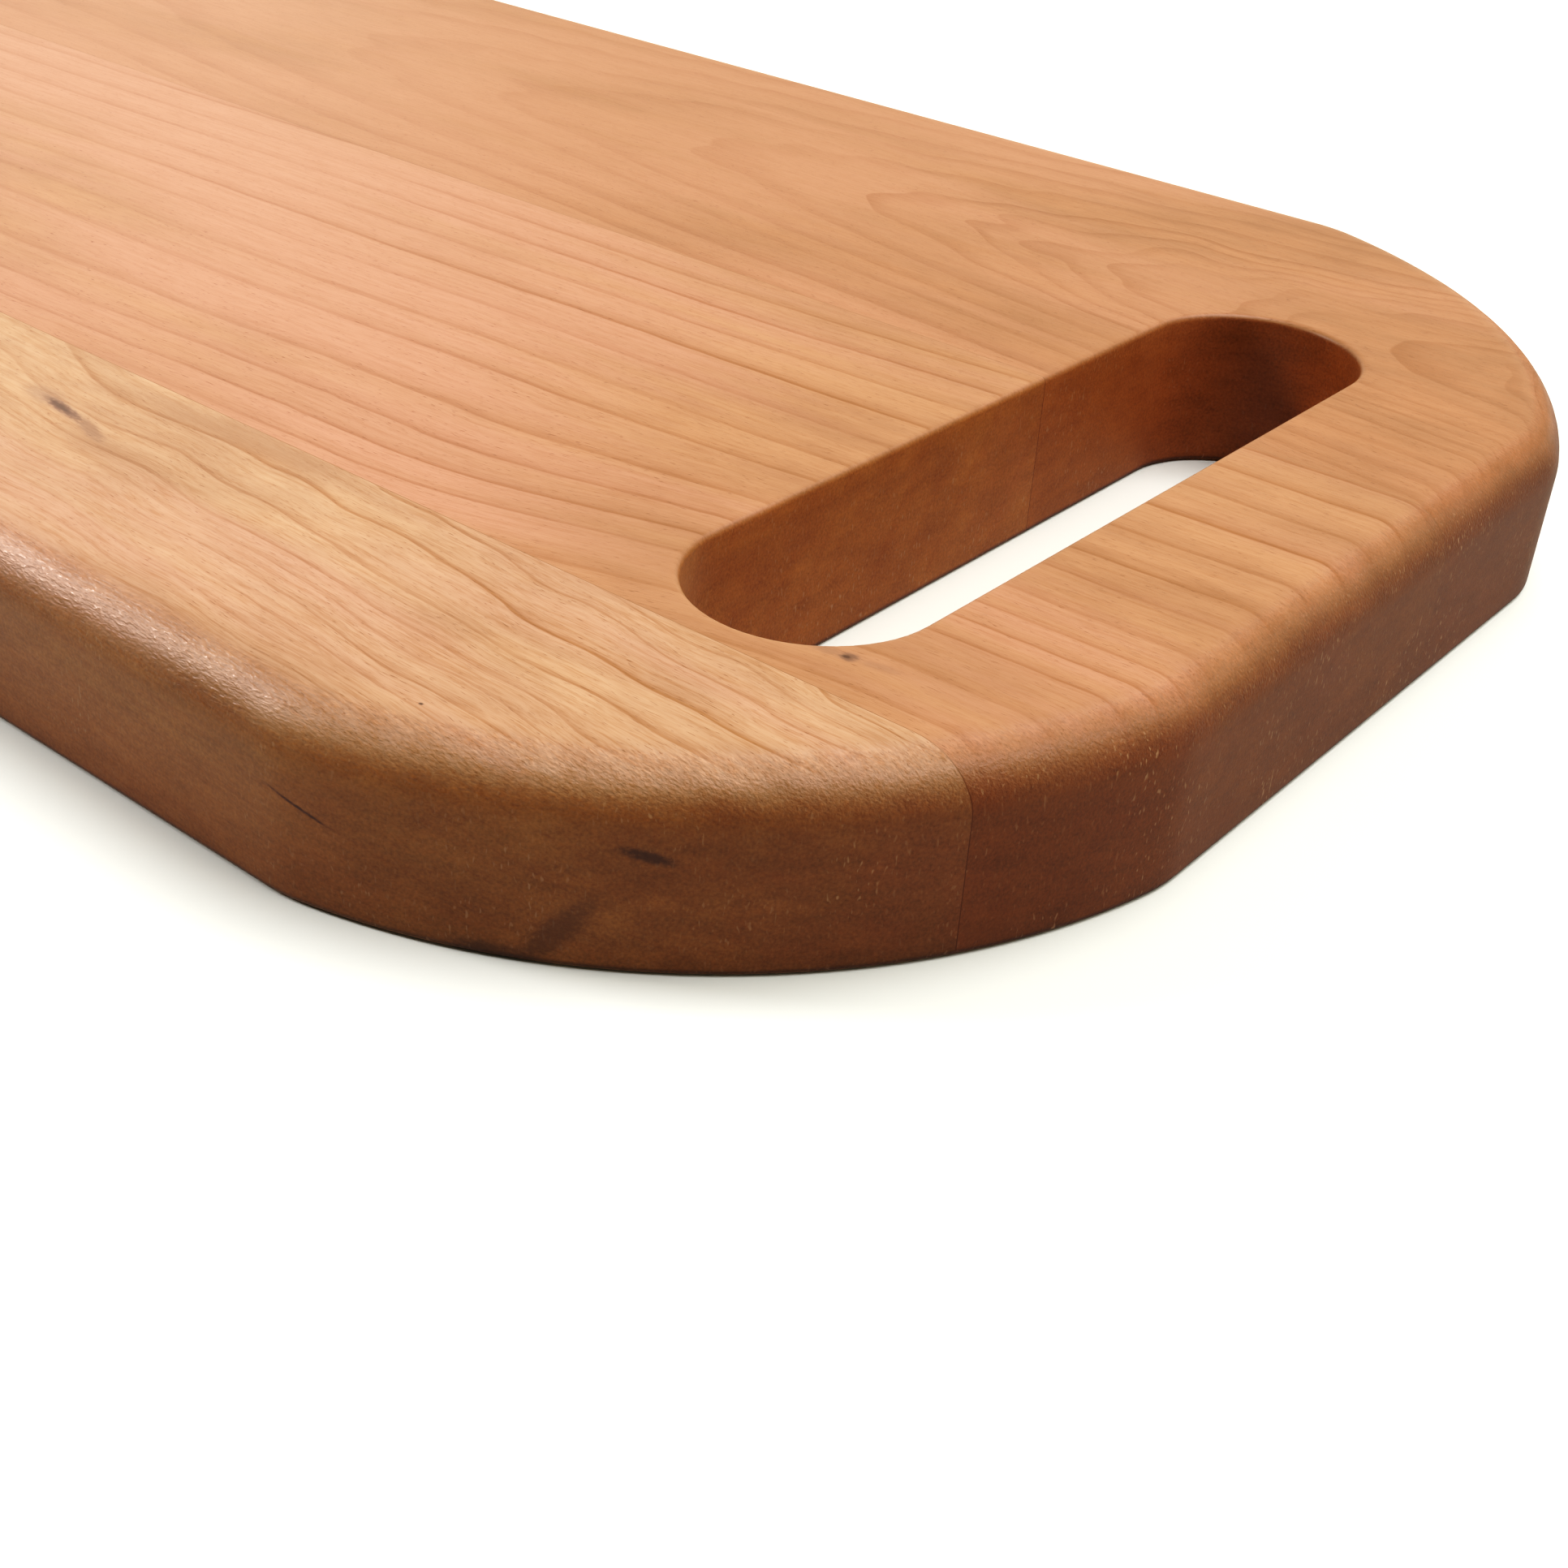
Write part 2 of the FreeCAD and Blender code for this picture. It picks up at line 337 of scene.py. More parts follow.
# Each softbox's turn round the board from the near edge and its height, in degrees, its
# distance and size in metres, and its power in watts.
SOFTBOXES = {
    "overhead_softbox": {"turn": 118, "up": 67, "distance": 1.2, "size": 1.0, "power": 17},
    "window_softbox": {"turn": 250, "up": 24, "distance": 1.3, "size": 1.1, "power": 2.6},
    "left_softbox": {"turn": -55, "up": 36, "distance": 1.0, "size": 0.25, "power": 6.6},
    "right_softbox": {"turn": 110, "up": 35, "distance": 1.4, "size": 0.8, "power": 1.5},
}

# The camera's response in linear light: dark tones are pressed down and light tones
# lifted. Blender keeps the curve for all colours together after red, green and blue.
RESPONSE = (
    (0.0, 0.0), (0.04, 0.018), (0.08, 0.05), (0.15, 0.13),
    (0.25, 0.25), (0.37, 0.41), (0.62, 0.77), (0.80, 1.0),
)
COMBINED_CURVE = 3


def direction(turn, up):
    """Return the direction from the board to a place at a turn and a height angle."""
    return Vector((math.sin(turn) * math.cos(up), -math.cos(turn) * math.cos(up), math.sin(up)))


def add_camera():
    """Look at the handle's near corner from above, with a slight roll."""
    back = direction(VIEW_TURN, VIEW_DOWN)
    level = Vector((math.cos(VIEW_TURN), math.sin(VIEW_TURN), 0))
    upright = back.cross(level)
    right = level * math.cos(VIEW_ROLL) + upright * math.sin(VIEW_ROLL)
    up = back.cross(right)
    camera = bpy.data.objects.new("camera", bpy.data.cameras.new("camera"))
    camera.data.lens = LENS
    camera.data.sensor_width = SENSOR
    camera.data.clip_start = NEAREST_SEEN
    camera.matrix_world = Matrix.Translation(VIEW_TARGET + back * VIEW_DISTANCE) @ Matrix(
        (right, up, back)
    ).transposed().to_4x4()
    bpy.context.scene.collection.objects.link(camera)
    bpy.context.scene.camera = camera


def new_material(name):
    """Start a material. Return it with its node tree and its main shader."""
    material = bpy.data.materials.new(name)
    material.use_nodes = True
    return material, material.node_tree, material.node_tree.nodes["Principled BSDF"]


def add_floor():
    """Lay a plain white floor under the board."""
    data = bpy.data.meshes.new("floor")
    half = FLOOR_SIZE / 2
    corners = [(-half, -half, 0), (half, -half, 0), (half, half, 0), (-half, half, 0)]
    data.from_pydata(corners, [], [(0, 1, 2, 3)])
    floor = bpy.data.objects.new("floor", data)
    material, _, shader = new_material("floor_paper")
    shader.inputs["Base Color"].default_value = FLOOR_COLOUR
    shader.inputs["Roughness"].default_value = FLOOR_ROUGHNESS
    data.materials.append(material)
    bpy.context.scene.collection.objects.link(floor)


def add_softbox(name, turn, up, distance, size, power):
    """Add a large square light that faces the middle of the board."""
    light = bpy.data.objects.new(name, bpy.data.lights.new(name, "AREA"))
    light.data.shape = "SQUARE"
    light.data.size = size
    light.data.energy = power
    towards = direction(math.radians(turn), math.radians(up))
    light.location = Vector((0, 0, THICKNESS)) + towards * distance
    light.rotation_mode = "QUATERNION"
    light.rotation_quaternion = towards.to_track_quat("Z", "Y")
    bpy.context.scene.collection.objects.link(light)


def add_walls():
    """Surround the board with white walls, bright behind it and dim on the camera's side."""
    world = bpy.data.worlds.new("studio")
    world.use_nodes = True
    tree = world.node_tree
    coordinates = tree.nodes.new("ShaderNodeTexCoord")
    side = tree.nodes.new("ShaderNodeVectorMath")
    side.operation = "DOT_PRODUCT"
    side.inputs[1].default_value = BRIGHT_SIDE
    tree.links.new(coordinates.outputs["Generated"], side.inputs[0])
    strength = tree.nodes.new("ShaderNodeMapRange")
    strength.interpolation_type = "SMOOTHSTEP"
    strength.inputs["From Min"].default_value = WALLS_FADE[0]
    strength.inputs["From Max"].default_value = WALLS_FADE[1]
    strength.inputs["To Min"].default_value = WALLS_DIM
    strength.inputs["To Max"].default_value = WALLS_BRIGHT
    tree.links.new(side.outputs["Value"], strength.inputs["Value"])
    background = tree.nodes["Background"]
    background.inputs["Color"].default_value = WALLS_COLOUR
    tree.links.new(strength.outputs["Result"], background.inputs["Strength"])
    backdrop = tree.nodes.new("ShaderNodeBackground")
    backdrop.inputs["Color"].default_value = BACKDROP_COLOUR
    seen = tree.nodes.new("ShaderNodeLightPath")
    choice = tree.nodes.new("ShaderNodeMixShader")
    tree.links.new(seen.outputs["Is Camera Ray"], choice.inputs["Fac"])
    tree.links.new(background.outputs["Background"], choice.inputs[1])
    tree.links.new(backdrop.outputs["Background"], choice.inputs[2])
    tree.links.new(choice.outputs["Shader"], tree.nodes["World Output"].inputs["Surface"])
    bpy.context.scene.world = world


def set_response():
    """Give the picture a photograph's contrast."""
    view = bpy.context.scene.view_settings
    view.view_transform = "Standard"
    view.use_curve_mapping = True
    points = view.curve_mapping.curves[COMBINED_CURVE].points
    for place in RESPONSE[1:-1]:
        points.new(*place)
    points[0].location = RESPONSE[0]
    points[len(points) - 1].location = RESPONSE[-1]
    view.curve_mapping.update()


def light_studio():
    """Light the board with white walls, a large light overhead and three beside it."""
    add_walls()
    for name, settings in SOFTBOXES.items():
        add_softbox(name, **settings)
    set_response()


# --- Shader arithmetic ----------------------------------------------------------------

# Blender's noise stays near a half. This spreads it out to about 1 either way.
NOISE_MIDDLE = 0.5
NOISE_SPREAD = 2.6

# How far a texture's seed moves it in each direction.
SEED_STEPS = (1.0, 1.7, 2.3)

# The size of a texture's features in millimetres, its seed and its finer layers.
Texture = namedtuple("Texture", ("size", "seed", "detail"), defaults=(0.0,))


class Field:
    """A number that varies over a surface. Arithmetic on it adds nodes to its shader."""

    def __init__(self, tree, socket):
        self.tree = tree
        self.socket = socket

    def __add__(self, other):
        return calculate("ADD", self, other)

    def __sub__(self, other):
        return calculate("SUBTRACT", self, other)

    def __rsub__(self, other):
        return calculate("SUBTRACT", other, self)

    def __mul__(self, other):
        return calculate("MULTIPLY", self, other)

    def __truediv__(self, other):
        return calculate("DIVIDE", self, other)

    def __neg__(self):
        return self * -1.0

    __radd__ = __add__
    __rmul__ = __mul__


def calculate(operation, *values):
    """Add a Math node that takes fields and plain numbers."""
    tree = next(value.tree for value in values if isinstance(value, Field))
    node = tree.nodes.new("ShaderNodeMath")
    node.operation = operation
    for socket, value in zip(node.inputs, values):
        connect(tree, value, socket)
    return Field(tree, node.outputs["Value"])


def connect(tree, value, socket):
    """Feed a socket with a field or another socket, or set it to a plain value."""
    if isinstance(value, Field):
        tree.links.new(value.socket, socket)
    elif isinstance(value, bpy.types.NodeSocket):
        tree.links.new(value, socket)
    else:
        socket.default_value = value


def ease(field, low, high):
    """Rise smoothly from 0 where the field is low to 1 where it is high."""
    node = field.tree.nodes.new("ShaderNodeMapRange")
    node.interpolation_type = "SMOOTHSTEP"
    connect(field.tree, field, node.inputs["Value"])
    node.inputs["From Min"].default_value = low
    node.inputs["From Max"].default_value = high
    return Field(field.tree, node.outputs["Result"])


def at_least(least, field):
    """Squeeze a field from 0 to 1 into the range from a least value to 1."""
    return field * (1.0 - least) + least


def hump(*ratios):
    """Return 1 where all the ratios are 0, and nearly nothing where one passes 2."""
    squares = sum((ratio * ratio for ratio in ratios), 0.0)
    return calculate("EXPONENT", -squares)


def distance(*sides):
    """Return the length of a diagonal from its sides."""
    return calculate("SQRT", sum((side * side for side in sides), 0.0))


def split(tree, vector, scale=1.0):
    """Return a vector's three parts as fields."""
    node = tree.nodes.new("ShaderNodeSeparateXYZ")
    connect(tree, vector, node.inputs["Vector"])
    return [Field(tree, socket) * scale for socket in node.outputs]


def combine(tree, parts):
    """Return a vector made of three fields or numbers."""
    node = tree.nodes.new("ShaderNodeCombineXYZ")
    for socket, part in zip(node.inputs, parts):
        connect(tree, part, socket)
    return node.outputs["Vector"]


def noise(tree, place, texture, seed):
    """Return a texture at a place in the wood, mostly within -1 to 1."""
    scaled = tree.nodes.new("ShaderNodeVectorMath")
    scaled.operation = "MULTIPLY_ADD"
    connect(tree, place, scaled.inputs[0])
    scaled.inputs[1].default_value = [1 / side for side in texture.size]
    scaled.inputs[2].default_value = [(seed + texture.seed) * step for step in SEED_STEPS]
    node = tree.nodes.new("ShaderNodeTexNoise")
    node.inputs["Scale"].default_value = 1.0
    node.inputs["Detail"].default_value = texture.detail
    connect(tree, scaled.outputs["Vector"], node.inputs["Vector"])
    return (Field(tree, node.outputs["Fac"]) - NOISE_MIDDLE) * NOISE_SPREAD


def random_number(field, seed):
    """Return an unrelated number from 0 to 1 for each value of a field."""
    node = field.tree.nodes.new("ShaderNodeTexWhiteNoise")
    node.noise_dimensions = "1D"
    connect(field.tree, field + seed, node.inputs["W"])
    return Field(field.tree, node.outputs["Value"])


def blend(tree, factor, first, second, mode="MIX"):
    """Mix two colours."""
    node = tree.nodes.new("ShaderNodeMixRGB")
    node.blend_type = mode
    connect(tree, factor, node.inputs["Fac"])
    connect(tree, first, node.inputs["Color1"])
    connect(tree, second, node.inputs["Color2"])
    return node.outputs["Color"]


def tint(tree, factor, colour, filter_colour):
    """Lay a colour filter over a colour."""
    return blend(tree, factor, colour, filter_colour, mode="MULTIPLY")


def brighten(tree, colour, factor):
    """Multiply a colour by a field."""
    node = tree.nodes.new("ShaderNodeVectorMath")
    node.operation = "SCALE"
    connect(tree, colour, node.inputs[0])
    connect(tree, factor, node.inputs["Scale"])
    return node.outputs["Vector"]


# --- Cherry: settings -----------------------------------------------------------------

# Ring lines are where growth rings cross the top face, counted across the board at
# RINGS_AT along it. The pith is the tree's middle line: where it lies there, and how far
# it moves per millimetre along the board.
RINGS_AT = 148.0
TOP = THICKNESS / MM

# Large and small waves in the rings, and where the rings' dark lines fade.
WANDER = Texture((70, 28, 28), seed=0)
WIGGLE = Texture((13, 7, 7), seed=1)
TREMBLE = Texture((4.5, 2.5, 2.5), seed=10)
FADING = Texture((45, 9, 9), seed=2)
TREMBLE_REACH = 0.09
WIGGLE_DOWN = 0.6

# Each ring darkens to its line. A stave mixes a sharp line with a soft one. Each rises
# over one part of the ring's width and ends over another.
SHARP_RISE = (0.82, 0.95)
SHARP_END = (0.955, 1.0)
SOFT_RISE = (0.45, 0.96)
SOFT_END = (0.965, 1.0)
FADING_RANGE = (-0.9, 0.5)

# Lines are weaker away from the handle: how far along they change, and how weak they are.
LINES_NEARER = (20.0, 140.0)
LINES_FAR_OFF = 0.6

# How weak a ring's line can be, by chance and where it fades.
WEAKEST_RING = 0.5
MOST_FADED = 0.5

# Fibres, pores and bands run along the rings. Blotches don't.
FIBRE = Texture((2.6, 0.16, 0.16), seed=3, detail=1.0)
STREAK = Texture((11, 0.55, 0.55), seed=4, detail=2.0)
PORE = Texture((1.0, 0.12, 0.12), seed=5)
BAND = Texture((90, 4.5, 4.5), seed=11, detail=1.0)
BLOTCH = Texture((30, 12, 12), seed=6, detail=2.0)
FLUSH = Texture((60, 22, 22), seed=7)
MOTTLE = Texture((7, 3, 3), seed=9, detail=2.0)
PORE_RANGE = (0.45, 0.95)
TAN_RANGE = (-0.9, 0.9)
PINK_RANGE = (-0.1, 1.3)
GRAIN_RANGE = (-0.5, 0.9)
MOTTLE_IN_TAN = 0.4
BAND_IN_TAN = 0.5
FLUSH_IN_PINK = 0.8
BAND_IN_PINK = 0.5
BLUSH_IN_PINK = 1.3
FIBRE_IN_GRAIN = 0.55
STREAK_IN_GRAIN = 0.6
FAINT_LINES = 0.7

# Worked edges are a little rough, with cut fibres and cloudy patches. They begin later on
# a curve cut along the grain than on one cut across it, and they wear the grain down.
NAP = Texture((0.8, 0.30, 0.30), seed=8, detail=2.0)
SPECK = Texture((0.3, 0.3, 0.8), seed=12)
SPECKLED = Texture((9, 9, 9), seed=14)
GRIT = Texture((0.32, 0.32, 0.32), seed=15, detail=1.0)
CLOUD = Texture((6, 6, 1.6), seed=13, detail=3.0)
SPECK_RANGE = (0.45, 0.85)
SPECKLED_RANGE = (-0.3, 0.9)
GRIT_SHADE = 0.26
CLOUD_SHADE = 0.18
CURVE_NAP_SHADE = 0.2
CUT_FIBRES_EVERYWHERE = 0.12
CUT_FIBRES_IN_PATCHES = 0.55
CUT_FIBRES_ON_CURVE = 0.2

# How far a face is tilted where an edge begins and where it is fully worked.
EDGE_RANGE = (0.20, 1.08)
EDGE_NAP = 0.08
LEAST_TILT = 0.01
SIDE_GRAIN_LAG = 1.5

# How far a face is tilted where lines begin to wear off, and how much of the lines, the
# grain and the pores is worn off in the end.
LINES_WORN_RANGE = (0.1, 0.75)
LINES_WORN = 0.75
GRAIN_WORN = 0.4
PORES_WORN = 0.5

# How far a face looks along the board where end grain begins to show, and shows fully.
END_GRAIN_RANGE = (0.42, 1.0)

# How far a face looks up where the routed curve begins, and where it meets the top.
ROUNDED_FROM = (0.05, 0.4)
ROUNDED_TO = (0.93, 0.999)

# How far above the underside the painted contact shadow on the bottom edge fades, in millimetres.
CONTACT_SHADOW_HEIGHT = (0.45, 1.0)

# The wood round the slot: how far along the board it begins and ends, and how far across
# the board it reaches from the slot's middle, in millimetres.
SLOT_BEGINS = (130.0, 140.0)
SLOT_ENDS = (178.0, 186.0)
BESIDE_SLOT = (60.0, 66.0)

# Oiled wood is satin. The upper curve of an edge cut across the grain is dull, and loose
# fibres elsewhere on the curve glint.
ROUGHNESS = 0.44
SPECULAR_LEVEL = 0.3
END_GRAIN_DULLS = 0.12
UPPER_CURVE_DULLS = 0.3
FIBRE_SHINES = 0.03
GLINT_SHINES = 0.15
ACROSS_GRAIN = (0.08, 0.5)
UPPER_CURVE = (0.72, 0.88)
GLINT_RANGE = (0.1, 0.5)

# Relief, in millimetres.
FIBRE_HEIGHT = 0.003
PORE_DEPTH = 0.010
NAP_ON_WALLS = 0.008
NAP_ON_CURVE = 0.038

# What each detail does to the colour under it. Each takes more blue than red.
LINE_FILTER = (0.66, 0.42, 0.14, 1)
FIBRE_FILTER = (0.79, 0.63, 0.43, 1)
PORE_FILTER = (0.72, 0.58, 0.45, 1)

# Worked edges drink more oil, and end grain drinks the most. The side filter is partly that oil and
# partly painted shade: it darkens every face turned away from the top. The slot's wall is painted
# lighter than the outer edges: painted light inside the slot.
SIDE_OIL_AND_SHADE_FILTER = (0.61, 0.39, 0.175, 1)
END_GRAIN_FILTER = (0.60, 0.53, 0.57, 1)
SLOT_WALL_PAINTED_LIGHT = (1.37, 1.44, 1.6, 1)
ROUTED_FILTER = (1.0, 0.97, 0.99, 1)

# The bottom edge is darkened with a painted contact shadow, where it sits on the worktop.
CONTACT_SHADOW_FILTER = (0.35, 0.30, 0.26, 1)

# Cut fibre ends are pale.
CUT_FIBRE = (0.34, 0.19, 0.105, 1)

# Gum in the wood is nearly black. Bark and stains are a red brown.
GUM = (0.06, 0.02, 0.01, 1)
BARK = (0.14, 0.06, 0.036, 1)
STAIN = (0.26, 0.13, 0.062, 1)

# A mark is solid or clear outside this range of its fading, which the nap roughens.
MARK_RANGE = (0.1, 0.8)
MARK_NAP = 0.5


def middle_bend(x, y):
    """Bend the middle stave's grain past the slot, most of all beside the near seam."""
    seam, reach = -65.0, 25.0
    everywhere, at_seam = 1.5, 13.0
    begins, ends, straight_part = 110.0, 180.0, 0.56
    beside_seam = hump((y - seam) / reach)
    return (everywhere + at_seam * beside_seam) * (ease(x, begins, ends) - straight_part)


def near_swirl(x, y):
    """Swirl the near stave's grain round a knot under the surface."""
    knot_x, knot_y = 78.0, -72.0
    length, width = 14.0, 7.0
    strength = -1.6
    return strength * hump((x - knot_x) / length, (y - knot_y) / width)


def near_blush(x, y):
    """Return how pink the near stave is: most at its edge, away from the handle."""
    inner, outer = 75.0, 92.0
    away, handle = 95.0, 160.0
    return ease(-y, inner, outer) * (1.0 - ease(x, away, handle))


def far_blush_and_sheen(x, _):
    """Return how pink and pale the wider staves are: most away from the handle. This is partly the wood's
    own tone and partly a painted sheen towards that end.
    """
    away, handle = 40.0, 190.0
    strength = 0.8
    return (1.0 - ease(x, away, handle)) * strength


NEAR_STAVE = {
    "pith": (-50.0, 61.0),
    "pith_drift": (-0.045, -0.03),
    "ring_lines": (
        -58, -61.5, -64.8, -68.4, -73.8, -79.3, -84, -86.8, -89.8, -92.4, -94.9, -97.3, -99.5, -101.6,
        -103.5, -105.6, -107.4, -109.4, -111.5, -113.4, -115.5, -117.6,
    ),
    "swirl": near_swirl,
    "blush": near_blush,
    "faint": near_blush,
    "wander": 1.2,
    "wiggle": 0.55,
    "line_strength": 0.85,
    "line_sharpness": 0.7,
    "fibre_strength": 1.0,
    "seed": 3.0,
    "pale": (0.413, 0.266, 0.167, 1),
    "tan": (0.31, 0.176, 0.098, 1),
    "pink": (0.405, 0.238, 0.168, 1),
    "marks": (
        # Two gum streaks on the wall.
        {"centre": (146.8, -100.8, 11.0), "towards": (1, 0.2, -0.35), "length": 3.4, "width": 0.2,
         "colour": GUM, "strength": 1.0},
        {"centre": (176.0, -86.8, 12.8), "towards": (1, 0.78, -0.3), "length": 2.6, "width": 0.65,
         "colour": GUM, "strength": 0.9},
        # A smudge below them, down to the bottom edge.
        {"centre": (169.5, -91.3, 4.0), "towards": (0.75, 0.5, 1), "length": 5.0, "width": 1.5,
         "colour": GUM, "strength": 0.5},
        {"centre": (164.0, -94.5, 0.5), "towards": (1, 0.6, 0), "length": 4.0, "width": 1.3,
         "colour": GUM, "strength": 0.6},
        # A bark pocket on the top with a gum core, a stain on the side towards the seam, and
        # fainter bark at both ends.
        {"centre": (79.4, -77.0, 21.0), "towards": (1, -0.16, 0), "length": 4.2, "width": 0.8,
         "colour": BARK, "strength": 0.9},
        {"centre": (78.6, -76.9, 21.0), "towards": (1, -0.16, 0), "length": 2.4, "width": 0.35,
         "colour": GUM, "strength": 0.6},
        {"centre": (95.0, -67.8, 21.0), "towards": (1, 0.05, 0), "length": 17.0, "width": 2.0,
         "colour": STAIN, "strength": 0.5},
        {"centre": (75.0, -76.3, 21.0), "towards": (1, -0.1, 0), "length": 4.0, "width": 1.6,
         "colour": BARK, "strength": 0.3},
        {"centre": (86.0, -78.2, 21.0), "towards": (1, -0.3, 0), "length": 4.0, "width": 0.9,
         "colour": BARK, "strength": 0.4},
        # Two pinholes beside the routed edge.
        {"centre": (155.3, -96.8, 20.8), "towards": (1, 0, 0), "length": 0.3, "width": 0.22,
         "colour": GUM, "strength": 1.0},
        {"centre": (154.0, -92.3, 21.0), "towards": (1, 0, 0), "length": 0.25, "width": 0.18,
         "colour": GUM, "strength": 0.9},
    ),
}
MIDDLE_STAVE = {
    "pith": (130.0, -75.0),
    "pith_drift": (0.03, 0.0),
    "ring_lines": (
        48, 42, 36, 30, 24, 17, 10, 3.5, -3.5, -10.5, -18, -26, -32, -40, -45.5, -50, -54.5, -63, -70, -78,
    ),
    "bend": middle_bend,
    "blush": far_blush_and_sheen,
    "wander": 1.0,
    "wiggle": 0.25,
    "line_strength": 0.85,
    "line_sharpness": 0.6,
    "fibre_strength": 0.7,
    "seed": 11.0,
    "pale": (0.36, 0.193, 0.098, 1),
    "tan": (0.29, 0.142, 0.066, 1),
    "pink": (0.378, 0.196, 0.124, 1),
    "marks": (
        # A darker streak along the near seam.
        {"centre": (165.0, -57.0, 21.0), "towards": (1, 0, 0), "length": 40.0, "width": 9.0,
         "colour": STAIN, "strength": 0.2},
        # A pin knot with a gum core and a faint stain each side.
        {"centre": (175.3, -59.0, 21.0), "towards": (1, 0.3, 0), "length": 1.0, "width": 0.8,
         "colour": BARK, "strength": 0.85},
        {"centre": (175.1, -59.1, 21.0), "towards": (1, 0.3, 0), "length": 0.45, "width": 0.3,
         "colour": GUM, "strength": 0.8},
        {"centre": (172.5, -59.2, 21.0), "towards": (1, 0, 0), "length": 2.2, "width": 0.9,
         "colour": BARK, "strength": 0.3},
        {"centre": (178.5, -58.5, 21.0), "towards": (1, 0.2, 0), "length": 2.2, "width": 0.7,
         "colour": BARK, "strength": 0.2},
    ),
}
FAR_STAVE = {
    "pith": (57.0, -36.7),
    "pith_drift": (0.0, 0.06),
    "ring_lines": (
        47.5, 43.5, 40.5, 37, 31, 25.2, 21.0, 14.0, 8.0, 2.0, -4.0, -10.0, -16.0, -22.0,
    ),
    "blush": far_blush_and_sheen,
    "wander": 2.4,
    "wiggle": 0.7,
    "line_strength": 0.5,
    "line_sharpness": 0.1,
    "fibre_strength": 0.6,
    "seed": 23.0,
    "pale": (0.325, 0.156, 0.072, 1),
    "tan": (0.265, 0.122, 0.052, 1),
    "pink": (0.345, 0.170, 0.093, 1),
    "marks": (),
}


# --- Cherry: wood and finish ----------------------------------------------------------


class Surface:
    """A piece's surface: where each point is, in millimetres, and which way it faces."""

    def __init__(self, tree, seed):
        coordinates = tree.nodes.new("ShaderNodeTexCoord")
        self.tree = tree
        self.seed = seed
        self.x, self.y, self.z = split(tree, coordinates.outputs["Object"], 1 / MM)
        self.place = combine(tree, (self.x, self.y, self.z))
        facing = split(tree, coordinates.outputs["Normal"])
        self.facing_x, self.facing_z = [calculate("ABSOLUTE", facing[axis]) for axis in (0, 2)]
        self.tilt = calculate("SQRT", calculate("MAXIMUM", 1.0 - self.facing_z * self.facing_z, 0.0))
        lengthwise = self.facing_x / calculate("MAXIMUM", self.tilt, LEAST_TILT)
        side_grain = 1.0 - lengthwise * lengthwise
        self.worked = self.tilt - (1.0 - self.tilt) * side_grain * SIDE_GRAIN_LAG

    def noise(self, texture):
        """Return a texture over the surface."""
        return noise(self.tree, self.place, texture, self.seed)


def ring_number(radius, radii):
    """Count the growth rings out from the pith, by a curve through their radii."""
    node = radius.tree.nodes.new("ShaderNodeFloatCurve")
    inner, outer = radii[0], radii[-1]
    connect(radius.tree, (radius - inner) / (outer - inner), node.inputs["Value"])
    points = node.mapping.curves[0].points
    count = len(radii) - 1
    for index, ring in enumerate(radii):
        place = ((ring - inner) / (outer - inner), index / count)
        if index in (0, count):
            points[0 if index == 0 else -1].location = place
        else:
            points.new(*place)
    for point in points:
        point.handle_type = "VECTOR"
    node.mapping.update()
    return Field(radius.tree, node.outputs["Value"]) * float(count)


def grow_rings(surface, stave):
    """Return the growth rings, and the place in the wood that fibres follow."""
    along = surface.x - RINGS_AT
    wander = surface.noise(WANDER) * stave["wander"]
    wiggle = surface.noise(WIGGLE) * stave["wiggle"]
    tremble = surface.noise(TREMBLE) * TREMBLE_REACH
    across = surface.y - stave["pith"][0] - along * stave["pith_drift"][0] + wander + wiggle + tremble
    depth = surface.z - stave["pith"][1] - along * stave["pith_drift"][1] + wiggle * WIGGLE_DOWN
    if "bend" in stave:
        across = across - stave["bend"](surface.x, surface.y)
    radius = distance(across, depth)
    if "swirl" in stave:
        radius = radius + stave["swirl"](surface.x, surface.y)
    to_pith = TOP - stave["pith"][1]
    radii = sorted(math.hypot(line - stave["pith"][0], to_pith) for line in stave["ring_lines"])
    fibre_place = combine(surface.tree, (surface.x, across, depth))
    return ring_number(radius, radii), fibre_place


def line_darkness(surface, stave, age):
    """Return how dark the late wood is: a slow rise through each ring to a crisp line."""
    ring = calculate("FLOOR", age)
    part = calculate("FRACT", age)
    ring_tone = random_number(ring, stave["seed"])
    fading = ease(surface.noise(FADING), *FADING_RANGE)
    sharp = ease(part, *SHARP_RISE) * (1.0 - ease(part, *SHARP_END))
    soft = ease(part, *SOFT_RISE) * (1.0 - ease(part, *SOFT_END))
    sharpness = stave["line_sharpness"]
    line = sharp * sharpness + soft * (1.0 - sharpness)
    line = line * at_least(LINES_FAR_OFF, ease(surface.x, *LINES_NEARER))
    line = line * at_least(WEAKEST_RING, ring_tone) * at_least(MOST_FADED, fading) * stave["line_strength"]
    if "faint" in stave:
        line = line * (1.0 - stave["faint"](surface.x, surface.y) * FAINT_LINES)
    return line


def slot_wall(surface):
    """Return 1 round the hand slot and 0 at the board's own edges."""
    beside = calculate("ABSOLUTE", surface.y + SLOT_OFFSET / MM)
    within = ease(surface.x, *SLOT_BEGINS) * (1.0 - ease(surface.x, *SLOT_ENDS))
    return within * (1.0 - ease(beside, *BESIDE_SLOT))


